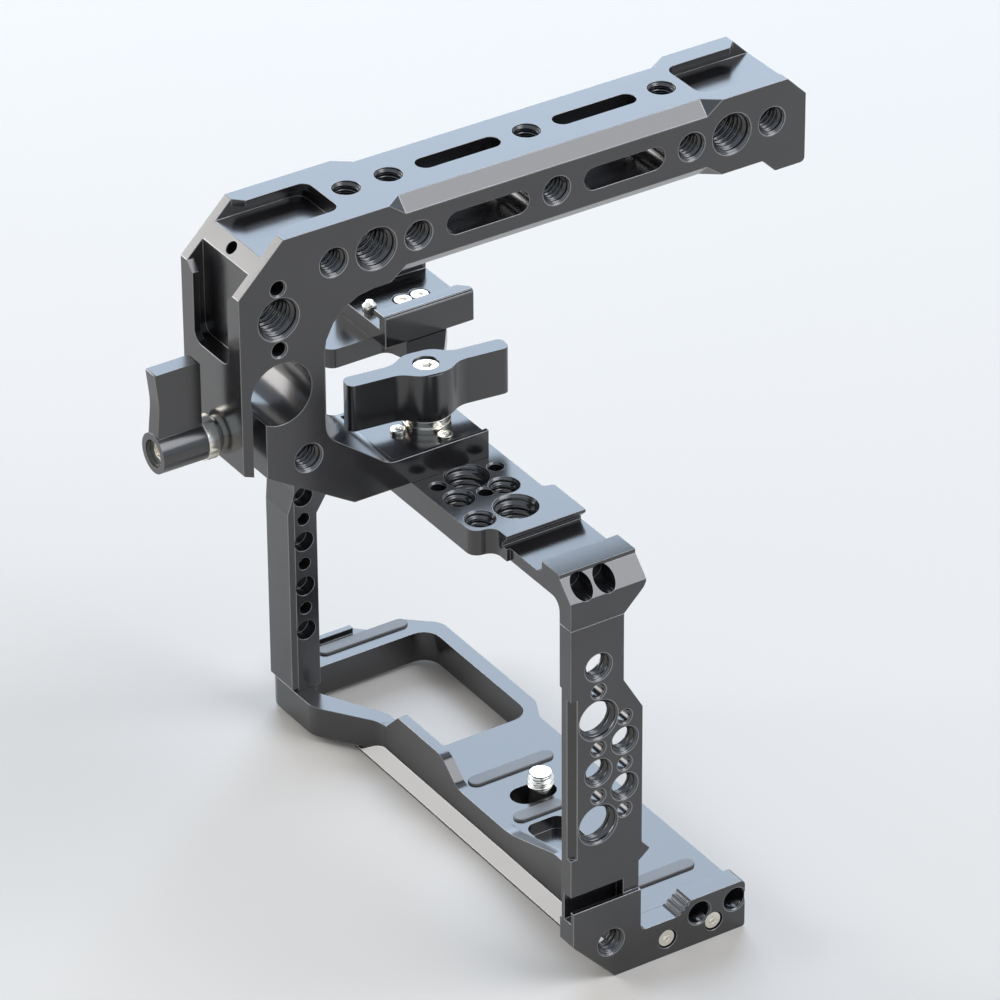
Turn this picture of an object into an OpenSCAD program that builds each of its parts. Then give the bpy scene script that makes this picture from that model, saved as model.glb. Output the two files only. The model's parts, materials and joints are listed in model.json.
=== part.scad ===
// Camera cage: a base plate, a drilled side plate, a slim left post and a top frame
// hold a camera, and a top handle is clamped on by a knob. Millimetres.
// Working axes: x across the camera from the handle's middle plane, y backwards from
// the handle's front face, z up from the underside of the base.

/* [Base plate] */
// Height of the plate's top above the ground
plate_h = 9.6; // [8.6:0.2:12]
// Distance from the handle's front face to the front edge of the quick-release foot
foot_y = 59.8; // [58.6:0.2:61]
// Width of the quick-release foot, front to back
foot_w = 38; // [37:0.2:40]
// Depth of the foot's 45 degree bevels
foot_bevel = 2.9; // [2.2:0.1:3.2]
// Height of the raised front lip above the plate's top
lip_h = 5.4; // [3:0.2:7]
// Thickness of the raised front lip
lip_t = 2.6; // [1.8:0.1:3]
// Width of the flat bottom of the scoop that clears the lens
scoop_w = 23; // [20:1:26]
// Width of the battery door opening across the camera
door_w = 44.2; // [42:0.2:46]
// Travel of the camera screw along its slot
screw_travel = 4.6; // [3:0.2:5]
// Height of the camera screw above the plate's top
stud_h = 5; // [4.4:0.1:5.6]

/* [Side frame] */
// Distance from the middle plane to the outer face of the side plate
side_x = 65.8; // [64:0.2:70]
// Thickness of the side plate
side_t = 4.5; // [4:0.1:5.2]
// Step from the side plate's outer face out to its lower cheek
cheek_step = 1; // [0.6:0.1:1.4]
// Distance from the handle's front face to the front edge of the side plate
side_y = 48.6; // [48:0.1:49.4]
// Width of the side plate's upper half, front to back
post_w = 13.8; // [13.2:0.1:14.6]
// Width of the side plate's drilled half, front to back
drilled_w = 18.8; // [18.4:0.1:19.6]
// Distance from the middle plane to the inner face of the left post
left_x = 57.6; // [56.4:0.2:59]
// Width of the left post across the camera
left_w = 12.6; // [11.6:0.2:13.6]
// Depth of the left post, front to back
left_d = 7.2; // [6.6:0.1:8]

/* [Top frame] */
// Height of the top bar's upper face above the ground
bar_z = 106.6; // [102:0.2:116]
// Thickness of the top bar
bar_t = 6.4; // [6:0.1:7.4]
// Distance from the handle's front face to the front edge of the top bar
bar_y = 42.4; // [41.6:0.2:43]
// Width of the top bar, front to back
bar_w = 23.3; // [22.8:0.1:24]
// Depth of the groove across the bar's right end
groove_d = 3.3; // [2.6:0.1:3.6]

/* [Handle] */
// Width of the handle
handle_w = 24; // [23.4:0.2:26]
// Length of the handle
handle_l = 146.5; // [144:0.5:156]
// Height of the handle's beam
beam_h = 18.8; // [18:0.2:20]
// Height of the beam's hole line above the top bar
handle_rise = 61.4; // [60:0.2:66]
// Depth of the 45 degree bevels along the beam
beam_bevel = 2.2; // [1.6:0.1:2.4]
// Length of the 45 degree face at the front of the handle
nose = 11.4; // [10.8:0.1:12]
// Thickness of the handle's foot
sole_h = 6.8; // [6.2:0.1:7.6]
// Width of the clamp slit below the rod bore
slit_w = 3.2; // [2.4:0.1:3.6]

/* [Standard fittings] */
// Diameter of the support rod that the handle clamps
rod_d = 15; // [15:0.05:15.2]
// Width of an accessory shoe's channel
shoe_w = 18.6; // [18.5:0.05:18.8]
// Width of the mouth between a shoe's lips
mouth_w = 14.2; // [13:0.1:14.6]
// Depth of a shoe from its face to its floor
shoe_d = 4.1; // [3.8:0.1:4.3]
// Thickness of a shoe's lips
shoe_lip = 1.7; // [1.5:0.1:2]
// Diameter of the small camera thread
small_d = 6.35; // [6.3:0.05:6.4]
// Diameter of the large camera thread
large_d = 9.52; // [9.5:0.02:9.56]
// Diameter of the locating pin holes
pin_d = 3.2; // [3:0.1:3.4]
// Distance from a large thread to each of its locating pin holes
pin_pitch = 7.5; // [7.4:0.05:7.6]

/* [Knob and lever] */
// Length of the knob's wing from tip to tip
knob_l = 39; // [34:1:39]
// Height of the knob's wing
knob_h = 11.6; // [10.6:0.2:12]
// Diameter of the knob's hub
knob_hub_d = 11; // [10.8:0.2:12]
// Turn of the knob's wing out of the handle's length, in degrees
knob_turn = -7; // [-20:1:0]
// Height of the lever's tip above its axis
lever_l = 20.2; // [18:0.2:22]
// Diameter of the lever's hub
lever_hub_d = 9.4; // [9.2:0.1:10]
// Length of the lever's hub
lever_hub_l = 11.2; // [11.2:0.2:14]

/* [Hidden] */
$fn = 48;
// Overrun of every cut past the face that it opens
over = 0.5;
// Gap between faces that slide or turn on each other
slide_gap = 0.3;
// Radial clearance of a running shaft
fit_gap = 0.08;
// Radial clearance of a screw in a plain hole and of its head in a counterbore
screw_gap = 0.3;
// Small bevels of drilled holes and of machined edges
hole_bevel = 0.4;
edge_bevel = 0.8;
// Steps in each rounded corner of an outline
corner_steps = 5;
// Shared screw sizes: a small socket screw and a countersunk one
screw_r = 1.5;
head_r = 2.1;
head_h = 1.4;
socket_af = 1.6;
socket_h = 0.9;
tip_gap = 0.4;

// The handle's places
handle_x = handle_w / 2;
hole_z = bar_z + handle_rise;
top_z = hole_z + beam_h / 2;
beam_z = hole_z - beam_h / 2;
rod_r = rod_d / 2 + slide_gap / 3;
rod_y = 10;
rod_drop = 28.1;
rod_z = hole_z - rod_drop;
column_y = 9.8;
column_drop = 9.6;
column_z = hole_z - column_drop;
lever_drop = 12.4;
lever_z = rod_z - lever_drop;
jaw_drop = 5;
jaw_z = lever_z - jaw_drop;
leg_bevel_y = 5.5;
leg_bevel_z = 2.2;
leg_y = 20.9;
throat_r = 13;
sole_y = 27.8;
sole_end = 62.6;
sole_z = bar_z + sole_h;
heel_y = 36.9;
heel_rise = 12.2;
heel_r = 6;
slit_y = 2.7;
tail_l = 11.4;
tail_drop = 3.4;
tail_bevel = 5;
tail_corner = 1.2;
bevel_from = 42;
bevel_tail = 26.5;
bevel_to = handle_l - bevel_tail;
bevel_ramp = 4.2;
hole_pitch = 10.7;
slot_pitch = 35.4;
slot_l = 21.2;
slot_h = 5.6;
top_slot_w = 4.8;
mid_share = 0.55;
mid_y = handle_l * mid_share;
sole_floor = 1.2;
sole_rim = 1.1;
sole_wall = 38.4;
low_y = 16.4;
low_z = jaw_z - leg_bevel_z / 2 + hole_bevel;
shoe_a_end = 28.8;
shoe_b_l = 24.9;
shoe_b_start = handle_l - shoe_b_l;
shoe_c_drop = 20.6;
shoe_r = 2.6;
pin_r = pin_d / 2;
small_r = small_d / 2;
large_r = large_d / 2;

// The knob's places
knob_y = 54;
washer_t = 3.2;
washer_groove = 0.4;
knob_washer_r = 5.5;
sole_floor_z = sole_z - sole_floor;
knob_z = sole_floor_z + washer_t;
wing_rise = 0.5;
wing_z = knob_z + wing_rise;
knob_top = wing_z + knob_h;
wing_t = 4.4;
bolt_r = large_r - fit_gap;
bolt_in = bar_t + sole_h - sole_floor + washer_t - tip_gap;
spline_r = 4;
spline_h = 3.4;
stem_r = 1.5;
web_t = 1.2;
cap_r = 2.9;
cap_t = 1.5;
cap_sink = 0.5;
knob_lift = 2.5;
spring_h = 1.7;
spring_wall = 0.5;
pin_head_h = 0.9;
pin_in = 2.6;

// The lever's places
lever_washer_r = 5.1;
lever_flange_t = 2.7;
lever_collar_r = 3.9;
lever_collar_t = 1.4;
lever_washer_t = lever_flange_t + lever_collar_t;
lever_wing_t = 4;
lever_waist = 0.9;
lever_bolt_r = 2.4;
lever_bolt_in = 15;
lever_spline_r = 3.2;
lever_cap_r = 3.1;
lever_cap_sink = 1.2;
lever_lift = 1.7;

// The cage's places
side_in = side_x - side_t;
left_in = -left_x;
left_out = -left_x - left_w;
wall_y = foot_y + foot_bevel;
rear_y = foot_y + foot_w;
wall_rear = rear_y - foot_bevel;
foot_edge = 0.6;
block_y = 52.5;
block_in = 7.6;
block_r = 5;
block_lift = 1.6;
sweep_w = 14;
sweep_r = 9;
ear_out = 3.8;
ear_y = 67.6;
ear_l = 10.6;
ear_back = 15.4;
rear_corner = 6;
rear_step_x = 17.4;
rear_step_w = 6;
lens_x = 8.2;
scoop_rise = 18;
scoop_drop = 6;
scoop_left_r = 7;
scoop_right_r = 30;
lip_left = 33.6;
ledge_left = 43;
door_x = 19.4;
door_y = 57.2;
door_in = 4;
door_wall = 4;
door_r = 4.6;
slot_x = 8;
slot_y = 74.2;
slot_r = small_r + screw_gap;
camera_head_r = 6;
camera_head_h = 2.8;
keeper_t = 0.8;
camera_head_z = 0.4;
camera_neck_r = 2.9;
keeper_z = camera_head_z + camera_head_h;
camera_y = slot_y + screw_travel - screw_gap;
pocket_x = 18.5;
pocket_y = 67;
pocket_w = 14.5;
pocket_l = 10;
pocket_d = 3.4;
pad_w = 3.6;
pad_rise = 0.6;
pad_sink = 0.8;
pad_y = 67.8;
pad_long = 21;
pad_mid = 13;
pad_end = 14;
left_pad_x = 68.8;
inner_pad_x = 2.8;
middle_pad_x = 11.4;
right_pad_x = 49.5;
right_pad_y = 75.4;
thread_depth = 6.6;
base_thread_depth = 5.6;
base_hole_x = 44;
base_hole_y = 82;
base_hole_pitch = 20;
screw_a_y = 73.8;
screw_b_y = 86.3;
screw_low_z = 4.5;
side_screw_l = 9;
plain_hole_r = 2.7;
plain_a_y = 82.4;
plain_b_y = 92;
plain_z = 8.2;
cheek_bevel = 11.8;
cheek_back = 94.8;
cheek_top = 12.6;
nub_z = 30.4;
nub_y = 2.2;
nub_h = 2.4;
notch_y = 76;
notch_rise = 4;
notch_groove = 0.5;
notch_groove_pitch = 1.5;
ear_slot_z = 17.7;
ear_slot_h = 7;
ear_slot_l = 13.8;
ear_t = 1.1;
ear_wall = 1.1;
ear_h = 3.2;
ledge_z = ear_slot_z + ear_h;
relief = 0.7;
relief_top = 78.2;
seam_z = 94.5;
shoulder_z = 77.3;
shoulder_h = 8.6;
front_bevel = 1.6;
front_cut = front_bevel / cos(45);
front_bevel_top = 76.2;
front_bevel_low = 34.5;
column_a = 7.2;
column_b = 14.1;
row_z = 69.2;
row_pitch = 6.25;
inner_row_z = 55.4;
inner_pitch = 6.1;
cheek_hole_y = 58.6;
lap_t = side_t / 2;
lap_h = 4.4;
lap_gap = 0.02;
lap_screw_pitch = 3.2;
block_x = 54.4;
block_bevel = 5.5;
block_l = 4.8;
block_back_r = 4;
block_hole_r = 2.5;
block_hole_drop = 3.1;
block_hole_y = 4.3;
block_hole_pitch = 5.8;
throat_in = 5.5;
groove_x = 42;
groove_l = 10.5;
groove_lip = 1.8;
bar_left = 13;
bar_step_x = 36.4;
bar_step_y = 5.3;
bar_step_r = 2.6;
bar_wide_y = 68.2;
bar_wide_x = 29.6;
bar_pitch = 16.3;
bar_last_y = 2.2;
arm_t = 5;
cold_x = 51;
cold_y = 68.4;
cold_l = 23.8;
cold_wall = 1.7;
cold_w = shoe_w + 2 * cold_wall;
cold_h = 8.2;
left_top_y = 55;
left_top_l = 8;
left_step_z = 58;
left_step_d = 1.2;
left_step_rise = 6;
left_row_z = 25.8;
left_row_pitch = 6.1;
left_hole_share = 0.8;

// The assembly's footprint, whose middle becomes the origin
far_left = left_out - ear_out;
lever_front = -lever_washer_t - lever_hub_l;
middle_x = (side_x + cheek_step + far_left) / 2;
middle_y = (handle_l + lever_front) / 2;

// One corner of an outline, rounded to radius r but never past half of either edge
function corner(a, p, b, r) =
    r <= 0 ? [p] :
    let (
        u = (a - p) / norm(a - p),
        w = (b - p) / norm(b - p),
        half = acos(u * w) / 2,
        cut = min(r / tan(half), norm(a - p) / 2, norm(b - p) / 2),
        s = cut * tan(half),
        c = p + (u + w) / norm(u + w) * s / sin(half),
        from = p + u * cut - c,
        to = p + w * cut - c,
        start = atan2(from.y, from.x),
        turn = atan2(to.y, to.x) - start,
        sweep = turn > 180 ? turn - 360 : turn < -180 ? turn + 360 : turn
    )
    [for (i = [0:corner_steps])
        c + s * [cos(start + sweep * i / corner_steps), sin(start + sweep * i / corner_steps)]];

// An outline from points that each hold x, y and the corner's radius
function rounded(pts) = [
    for (i = [0:len(pts) - 1])
        let (
            n = len(pts),
            a = pts[(i + n - 1) % n], p = pts[i], b = pts[(i + 1) % n]
        )
        each corner([a.x, a.y], [p.x, p.y], [b.x, b.y], p[2])
];

// Moves the working axes to the middle of the footprint
module placed() {
    translate([-middle_x, -middle_y, 0]) children();
}

// Extrudes an outline drawn in y and z from x0 to x1
module across(x0, x1) {
    translate([x0, 0, 0]) rotate([90, 0, 90]) linear_extrude(x1 - x0) children();
}

// Turns something that points up so that it points along x or along y
module to_x() {
    rotate([0, 90, 0]) children();
}
module to_y() {
    rotate([-90, 0, 0]) children();
}

module block(from, to) {
    translate(from) cube(to - from);
}

// A drill that runs through a wall of thickness t, with both mouths bevelled
module drill(r, t, bevel = hole_bevel) {
    translate([0, 0, -over]) cylinder(h = t + 2 * over, r = r);
    if (bevel > 0) {
        translate([0, 0, -over]) cylinder(h = bevel + over, r1 = r + bevel + over, r2 = r);
        translate([0, 0, t - bevel]) cylinder(h = bevel + over, r1 = r, r2 = r + bevel + over);
    }
}

// A stadium from the origin along x, with half width r and total height h
module stadium(l, r, h) {
    cylinder(h = h, r = r);
    translate([l, 0, 0]) cylinder(h = h, r = r);
    translate([0, -r, 0]) cube([l, 2 * r, h]);
}

// A socket screw that points down from its head's seat at z = 0
module socket_screw(r, l, hr, hh) {
    difference() {
        union() {
            translate([0, 0, -l]) cylinder(h = l + hh / 2, r = r);
            cylinder(h = hh, r = hr);
        }
        translate([0, 0, hh - socket_h]) cylinder(h = socket_h + over, d = socket_af / cos(30), $fn = 6);
    }
}

// The space that a socket screw and its head need
module screw_space(r, l, hr, hh) {
    translate([0, 0, -l - tip_gap]) cylinder(h = l + tip_gap + over, r = r);
    cylinder(h = hh + over, r = hr + screw_gap);
}

// An accessory shoe cut into a face at z = 0: it opens at x = 0, runs on by reach and ends at l
module shoe_cut(l, reach) {
    lead = (shoe_w - mouth_w) / 2;
    translate([0, 0, -shoe_d]) linear_extrude(shoe_d - shoe_lip)
        polygon(rounded([[-reach, -shoe_w / 2, 0], [l, -shoe_w / 2, shoe_r],
            [l, shoe_w / 2, shoe_r], [-reach, shoe_w / 2, 0]]));
    translate([0, 0, -shoe_lip - over]) linear_extrude(shoe_lip + 2 * over)
        polygon(rounded([[-reach, -mouth_w / 2, 0], [l, -mouth_w / 2, shoe_r],
            [l, mouth_w / 2, shoe_r], [-reach, mouth_w / 2, 0]]));
    translate([0, 0, -shoe_lip - over]) linear_extrude(shoe_lip + 2 * over)
        polygon([[-reach, -shoe_w / 2], [0, -shoe_w / 2], [lead, -mouth_w / 2],
            [lead, mouth_w / 2], [0, shoe_w / 2], [-reach, shoe_w / 2]]);
}

module foot_profile() {
    polygon([[foot_y, 0], [rear_y, 0], [rear_y, foot_edge], [wall_rear, foot_edge + foot_bevel],
        [wall_rear, plate_h], [wall_y, plate_h], [wall_y, foot_edge + foot_bevel], [foot_y, foot_edge]]);
}

function plate_outline() = rounded([
    [side_in, wall_y, 0],
    [side_in, wall_rear, 0],
    [-rear_step_x, wall_rear, edge_bevel],
    [-rear_step_x - rear_step_w, rear_y, door_r],
    [left_out + rear_corner, rear_y, rear_corner],
    [left_out, rear_y - rear_corner - edge_bevel, edge_bevel],
    [left_out + edge_bevel, ear_y + ear_back, edge_bevel],
    [far_left, ear_y + ear_l, edge_bevel],
    [far_left, ear_y + edge_bevel, edge_bevel],
    [left_out, ear_y - ear_out, edge_bevel],
    [left_out, block_y, block_r],
    [left_in + block_in, block_y, sweep_r],
    [left_in + block_in + sweep_w, wall_y, sweep_r]
]);

function door_outline() = rounded([
    [-door_x, wall_y + lip_t + edge_bevel, door_r],
    [-door_x, rear_y - door_wall, door_r],
    [-door_x - door_w, rear_y - door_wall, door_r],
    [-door_x - door_w, door_y + door_in, door_r],
    [left_in + edge_bevel, door_y, door_r],
    [left_in + block_in - door_in, door_y, door_r],
    [left_in + block_in + sweep_w - door_in / 2, wall_y + lip_t + edge_bevel, door_r]
]);

module side_screws_at() {
    for (y = [screw_a_y, screw_b_y])
        translate([side_x + cheek_step - head_h - edge_bevel / 2, y, screw_low_z]) to_x() children();
}

module left_base_screws_at() {
    for (x = [left_in - left_w / 4, left_out + left_w / 4])
        translate([x, block_y + left_d / 2, block_lift + head_h + edge_bevel / 2])
            rotate([180, 0, 0]) children();
}

left_base_l = plate_h;
left_seat_z = plate_h;

// The front lip: a ramp at its left end and the scoop that clears the lens
function lip_outline() = rounded([
    [-lip_left, plate_h - edge_bevel, 0],
    [-lip_left, plate_h, 0],
    [-lip_left + lip_h, plate_h + lip_h, edge_bevel],
    [lens_x - scoop_w / 2 - scoop_drop, plate_h + lip_h, scoop_left_r],
    [lens_x - scoop_w / 2, plate_h, scoop_left_r],
    [lens_x + scoop_w / 2, plate_h, scoop_right_r],
    [lens_x + scoop_w / 2 + scoop_rise, plate_h + lip_h, scoop_left_r],
    [side_in, plate_h + lip_h, 0],
    [side_in, plate_h - edge_bevel, 0]
]);

// Quick-release foot, plate, front lip and battery door frame in one piece
module base_plate() placed() color([0.13, 0.13, 0.14]) difference() {
    union() {
        difference() {
            translate([0, 0, block_lift]) linear_extrude(plate_h - block_lift) polygon(plate_outline());
            linear_extrude(2 * (plate_h + over), center = true) polygon(door_outline());
        }
        across(-rear_step_x, side_in) foot_profile();
        // The foot's front bevel runs on along the door frame
        across(-ledge_left, -rear_step_x + over) polygon([
            [foot_y, 0], [wall_y + lip_t, 0], [wall_y + lip_t, foot_edge + foot_bevel],
            [wall_y, foot_edge + foot_bevel], [foot_y, foot_edge]]);
        translate([0, wall_y + lip_t, 0]) rotate([90, 0, 0]) linear_extrude(lip_t) polygon(lip_outline());
        block([far_left + edge_bevel, ear_y, plate_h - edge_bevel],
            [far_left + 2 * edge_bevel + relief, ear_y + ear_l - edge_bevel, plate_h + 2 * edge_bevel]);
    }
    translate([slot_x, slot_y, -over]) rotate([0, 0, 90])
        stadium(screw_travel, slot_r, plate_h + 2 * over);
    translate([slot_x, slot_y, -over]) rotate([0, 0, 90])
        stadium(screw_travel, camera_head_r + screw_gap, keeper_z + keeper_t + fit_gap + over);
    translate([0, 0, plate_h - pocket_d]) linear_extrude(pocket_d + over)
        polygon(rounded([[pocket_x, pocket_y, shoe_r], [pocket_x + pocket_w, pocket_y, shoe_r],
            [pocket_x + pocket_w, pocket_y + pocket_l, shoe_r], [pocket_x, pocket_y + pocket_l, shoe_r]]));
    pads_at(pad_sink + over);
    for (i = [0:1]) translate([base_hole_x - i * base_hole_pitch, base_hole_y, 0]) {
        translate([0, 0, -over]) cylinder(h = base_thread_depth + over, r = i == 0 ? large_r : small_r);
    }
    side_screws_at() screw_space(screw_r, side_screw_l, head_r, head_h);
    left_base_screws_at() screw_space(screw_r, left_base_l, head_r, head_h);
}

// Pad beds: each is a stadium along y, starting at the plate's top and going down by depth
module pad_at(x, y, l, depth) {
    translate([x, y, plate_h - pad_sink]) rotate([0, 0, 90]) stadium(l, pad_w / 2, depth);
}
module pads_at(depth) {
    pad_at(-left_pad_x, pad_y, pad_long, depth);
    pad_at(-inner_pad_x, pad_y, pad_long - pad_w / 2, depth);
    pad_at(middle_pad_x + pad_w, pad_y + edge_bevel, pad_mid - pad_w, depth);
    pad_at(right_pad_x + pad_w / 2, right_pad_y, pad_end, depth);
}
module pad_left() placed() color([0.09, 0.09, 0.09])
    pad_at(-left_pad_x, pad_y, pad_long, pad_sink + pad_rise);
module pad_inner() placed() color([0.09, 0.09, 0.09])
    pad_at(-inner_pad_x, pad_y, pad_long - pad_w / 2, pad_sink + pad_rise);
module pad_middle() placed() color([0.09, 0.09, 0.09])
    pad_at(middle_pad_x + pad_w, pad_y + edge_bevel, pad_mid - pad_w, pad_sink + pad_rise);
module pad_right() placed() color([0.09, 0.09, 0.09])
    pad_at(right_pad_x + pad_w / 2, right_pad_y, pad_end, pad_sink + pad_rise);

module side_plate_screws() placed() color([0.8, 0.8, 0.82])
    side_screws_at() socket_screw(screw_r, side_screw_l, head_r, head_h);

module left_post_base_screws() placed() color([0.8, 0.8, 0.82])
    left_base_screws_at() socket_screw(screw_r, left_base_l, head_r, head_h);

// Drilled post and lower cheek cut from one plate
module right_side_plate() placed() color([0.14, 0.14, 0.15]) difference() {
    union() {
        across(side_in, side_x) polygon(rounded([
            [side_y, seam_z, 0],
            [side_y, ear_slot_z, 0],
            [side_y, cheek_bevel, edge_bevel],
            [side_y + cheek_bevel - edge_bevel, 0, edge_bevel],
            [cheek_back, 0, edge_bevel],
            [cheek_back, cheek_top - edge_bevel, 2 * edge_bevel],
            [cheek_back - edge_bevel, cheek_top, 2 * edge_bevel],
            [notch_y + notch_rise, cheek_top, edge_bevel],
            [notch_y, plate_h, edge_bevel],
            [side_y + drilled_w - edge_bevel, plate_h, 2 * edge_bevel],
            [side_y + drilled_w - edge_bevel, nub_z - nub_h, 0],
            [side_y + drilled_w + nub_y, nub_z, edge_bevel / 2],
            [side_y + drilled_w, nub_z + nub_h, edge_bevel / 2],
            [side_y + drilled_w, shoulder_z - shoulder_h, edge_bevel],
            [side_y + post_w, shoulder_z, edge_bevel],
            [side_y + post_w, seam_z, 0]
        ]));
        // The cheek stands out from the plate
        across(side_x - over, side_x + cheek_step) polygon(rounded([
            [side_y, ledge_z, 0],
            [side_y, cheek_bevel, edge_bevel],
            [side_y + cheek_bevel - edge_bevel, 0, edge_bevel],
            [cheek_back, 0, edge_bevel],
            [cheek_back, cheek_top - edge_bevel, 2 * edge_bevel],
            [cheek_back - edge_bevel, cheek_top, 2 * edge_bevel],
            [notch_y + notch_rise, cheek_top, edge_bevel],
            [notch_y, plate_h, edge_bevel],
            [side_y + drilled_w - edge_bevel, plate_h, 2 * edge_bevel],
            [side_y + drilled_w - edge_bevel, ledge_z, 0]
        ]));
        // Half lap behind the top frame's leg
        block([side_in, side_y + edge_bevel, seam_z - over],
            [side_in + lap_t - lap_gap, side_y + post_w, seam_z + lap_h - lap_gap]);
    }
    // Relieved inner face
    block([side_in - over, side_y - over, ear_slot_z], [side_in + relief, cheek_back, relief_top]);
    // Bevel along the outer front edge
    translate([side_x, side_y, (front_bevel_top + front_bevel_low) / 2]) rotate([0, 0, 45])
        cube([front_cut, front_cut, front_bevel_top - front_bevel_low], center = true);
    // Slot with a thin outer ear for a cable clamp
    block([side_in + relief + ear_wall, side_y - over, ear_slot_z],
        [side_x + cheek_step - ear_t, side_y + ear_slot_l, ear_slot_z + ear_slot_h]);
    block([side_in + relief + ear_wall, side_y - over, ledge_z],
        [side_x + over, side_y + ear_slot_l, ear_slot_z + ear_slot_h]);
    // Grooves across the slope at the front of the cheek's rear part
    for (i = [-1:1])
        translate([side_in - over, notch_y + notch_rise / 2, (plate_h + cheek_top) / 2])
            rotate([atan2(cheek_top - plate_h, notch_rise), 0, 0])
            translate([0, i * notch_groove_pitch - notch_groove / 2, -notch_groove])
                cube([side_t + cheek_step + 2 * over, notch_groove, notch_groove + over]);
    // Threads with their locating holes, in two columns
    for (z = [row_z, row_z - 2 * (pin_pitch + row_pitch)])
        translate([side_in, side_y + column_a, z]) to_x() drill(large_r, side_t);
    for (z = [row_z + pin_pitch, row_z - pin_pitch, row_z - pin_pitch - 2 * row_pitch])
        translate([side_in, side_y + column_a, z]) to_x() drill(pin_r, side_t);
    for (z = [row_z + pin_pitch + row_pitch, row_z - pin_pitch - row_pitch])
        translate([side_in, side_y + column_a, z]) to_x() drill(small_r, side_t);
    for (i = [-2:2])
        translate([side_in, side_y + column_b, inner_row_z + i * inner_pitch]) to_x()
            drill(i % 2 == 0 ? pin_r : small_r, side_t);
    translate([side_in, cheek_hole_y, plate_h]) to_x() drill(small_r, side_t + cheek_step);
    for (y = [plain_a_y, plain_b_y])
        translate([side_in, y, plain_z]) to_x() drill(plain_hole_r, side_t + cheek_step);
    side_screws_at() screw_space(screw_r + fit_gap, side_screw_l, head_r, head_h);
    lap_screws_at() lap_space();
}

lap_head_r = 1.3;
lap_screw_r = 0.8;
lap_head_h = 0.8;
module lap_screws_at() {
    for (i = [-1, 1])
        translate([side_in + lap_head_h, side_y + post_w / 2 + i * lap_screw_pitch, seam_z + lap_h / 2])
            rotate([0, -90, 0]) children();
}
module lap_space() {
    screw_space(lap_screw_r + lap_gap, lap_t, lap_head_r, lap_head_h);
    cylinder(h = throat_in, r = lap_head_r + screw_gap);
}
module lap_screws() placed() color([0.3, 0.3, 0.31])
    lap_screws_at() difference() {
        union() {
            translate([0, 0, -lap_t]) cylinder(h = lap_t, r = lap_screw_r);
            cylinder(h = lap_head_h - lap_gap, r = lap_head_r);
        }
        translate([0, 0, lap_head_h / 2]) cylinder(h = lap_head_h, r = lap_screw_r / 2, $fn = 6);
    }

// Slim post on the plate's left block, set back above a 45 degree step
left_top_z = bar_z - arm_t;
module left_post() placed() color([0.13, 0.13, 0.14]) difference() {
    across(left_out, left_in) polygon(rounded([
        [block_y, left_seat_z, 0],
        [block_y + left_d, left_seat_z, 0],
        [block_y + left_d, left_step_z - left_step_d, edge_bevel],
        [left_top_y + left_top_l, left_step_z + left_top_l / 2, edge_bevel],
        [left_top_y + left_top_l, left_top_z, 0],
        [block_y + left_step_d, left_top_z, 0],
        [block_y + left_step_d, left_step_z + left_step_rise, edge_bevel],
        [block_y, left_step_z, edge_bevel]
    ]));
    // Bevel of the inner front edge
    translate([left_in, block_y, (left_seat_z + left_step_z) / 2]) rotate([0, 0, 45])
        cube([2 * edge_bevel, 2 * edge_bevel, left_step_z], center = true);
    // Blind threads in the inner face
    for (i = [0:6])
        translate([left_in - thread_depth / 2, block_y + left_d / 2, left_row_z + i * left_row_pitch])
            to_x() cylinder(h = thread_depth, r = i % 2 == 0 ? small_r * left_hole_share : pin_r);
    // Bevel of the outer front edge, over the plate's rounded corner
    translate([left_out, block_y, left_seat_z]) rotate([0, 0, 45])
        cube([block_r / 2, block_r / 2, 2 * left_step_z], center = true);
    left_base_screws_at() screw_space(screw_r, left_base_l, head_r, head_h);
    left_top_screws_at() screw_space(screw_r, bar_t + left_d, head_r, head_h);
}

module left_top_screws_at() {
    for (x = [left_in - left_w / 4, left_out + left_w / 4])
        translate([x, left_top_y + left_top_l / 2, bar_z - head_h - edge_bevel / 2]) children();
}
module left_post_top_screws() placed() color([0.3, 0.3, 0.31])
    left_top_screws_at() socket_screw(screw_r, bar_t + left_d, head_r, head_h);

// The top frame: drilled bar, grooved end, bevelled corner with its leg, and the rear arm
function bar_outline() = rounded([
    [-bar_left, bar_y, edge_bevel],
    [bar_step_x, bar_y, bar_step_r],
    [bar_step_x + edge_bevel, bar_y + bar_step_y, bar_step_r],
    [groove_x, bar_y + bar_step_y, 0],
    [groove_x, side_y, 0],
    [side_in, side_y, 0],
    [side_in, side_y + post_w, 0],
    [side_in, bar_wide_y, 0],
    [bar_wide_x, bar_wide_y, edge_bevel],
    [bar_wide_x - edge_bevel, bar_y + bar_w, edge_bevel],
    [-bar_left, bar_y + bar_w, 0]
]);

arm_start_y = 57.6;
arm_knee_x = 24;
arm_knee_y = 63.6;
arm_fork_x = 40;
arm_fork_y = 74.2;
arm_foot_x = 46.2;
arm_foot_y = 57.4;
arm_neck_y = 72.5;
arm_rear_x = 35.5;
arm_rear_y = 81.5;
arm_back_x = 44;
arm_back_y = 87.5;
function arm_outline() = rounded([
    [-bar_left + over, arm_start_y, 0],
    [-arm_knee_x, arm_knee_y, door_r],
    [-arm_fork_x, arm_fork_y, edge_bevel],
    [-arm_foot_x, arm_neck_y, shoe_r],
    [-arm_foot_x, arm_foot_y, shoe_r],
    [left_in, left_top_y, edge_bevel],
    [left_out, left_top_y, edge_bevel],
    [left_out, left_top_y + left_top_l, edge_bevel],
    [-cold_x - cold_w / 2 + edge_bevel, cold_y, door_r],
    [-cold_x - cold_w / 2 + edge_bevel, arm_back_y, door_r],
    [-arm_back_x, arm_back_y, door_r],
    [-arm_rear_x, arm_rear_y, door_r],
    [-bar_left + over, bar_y + bar_w - edge_bevel, 0]
]);

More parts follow.
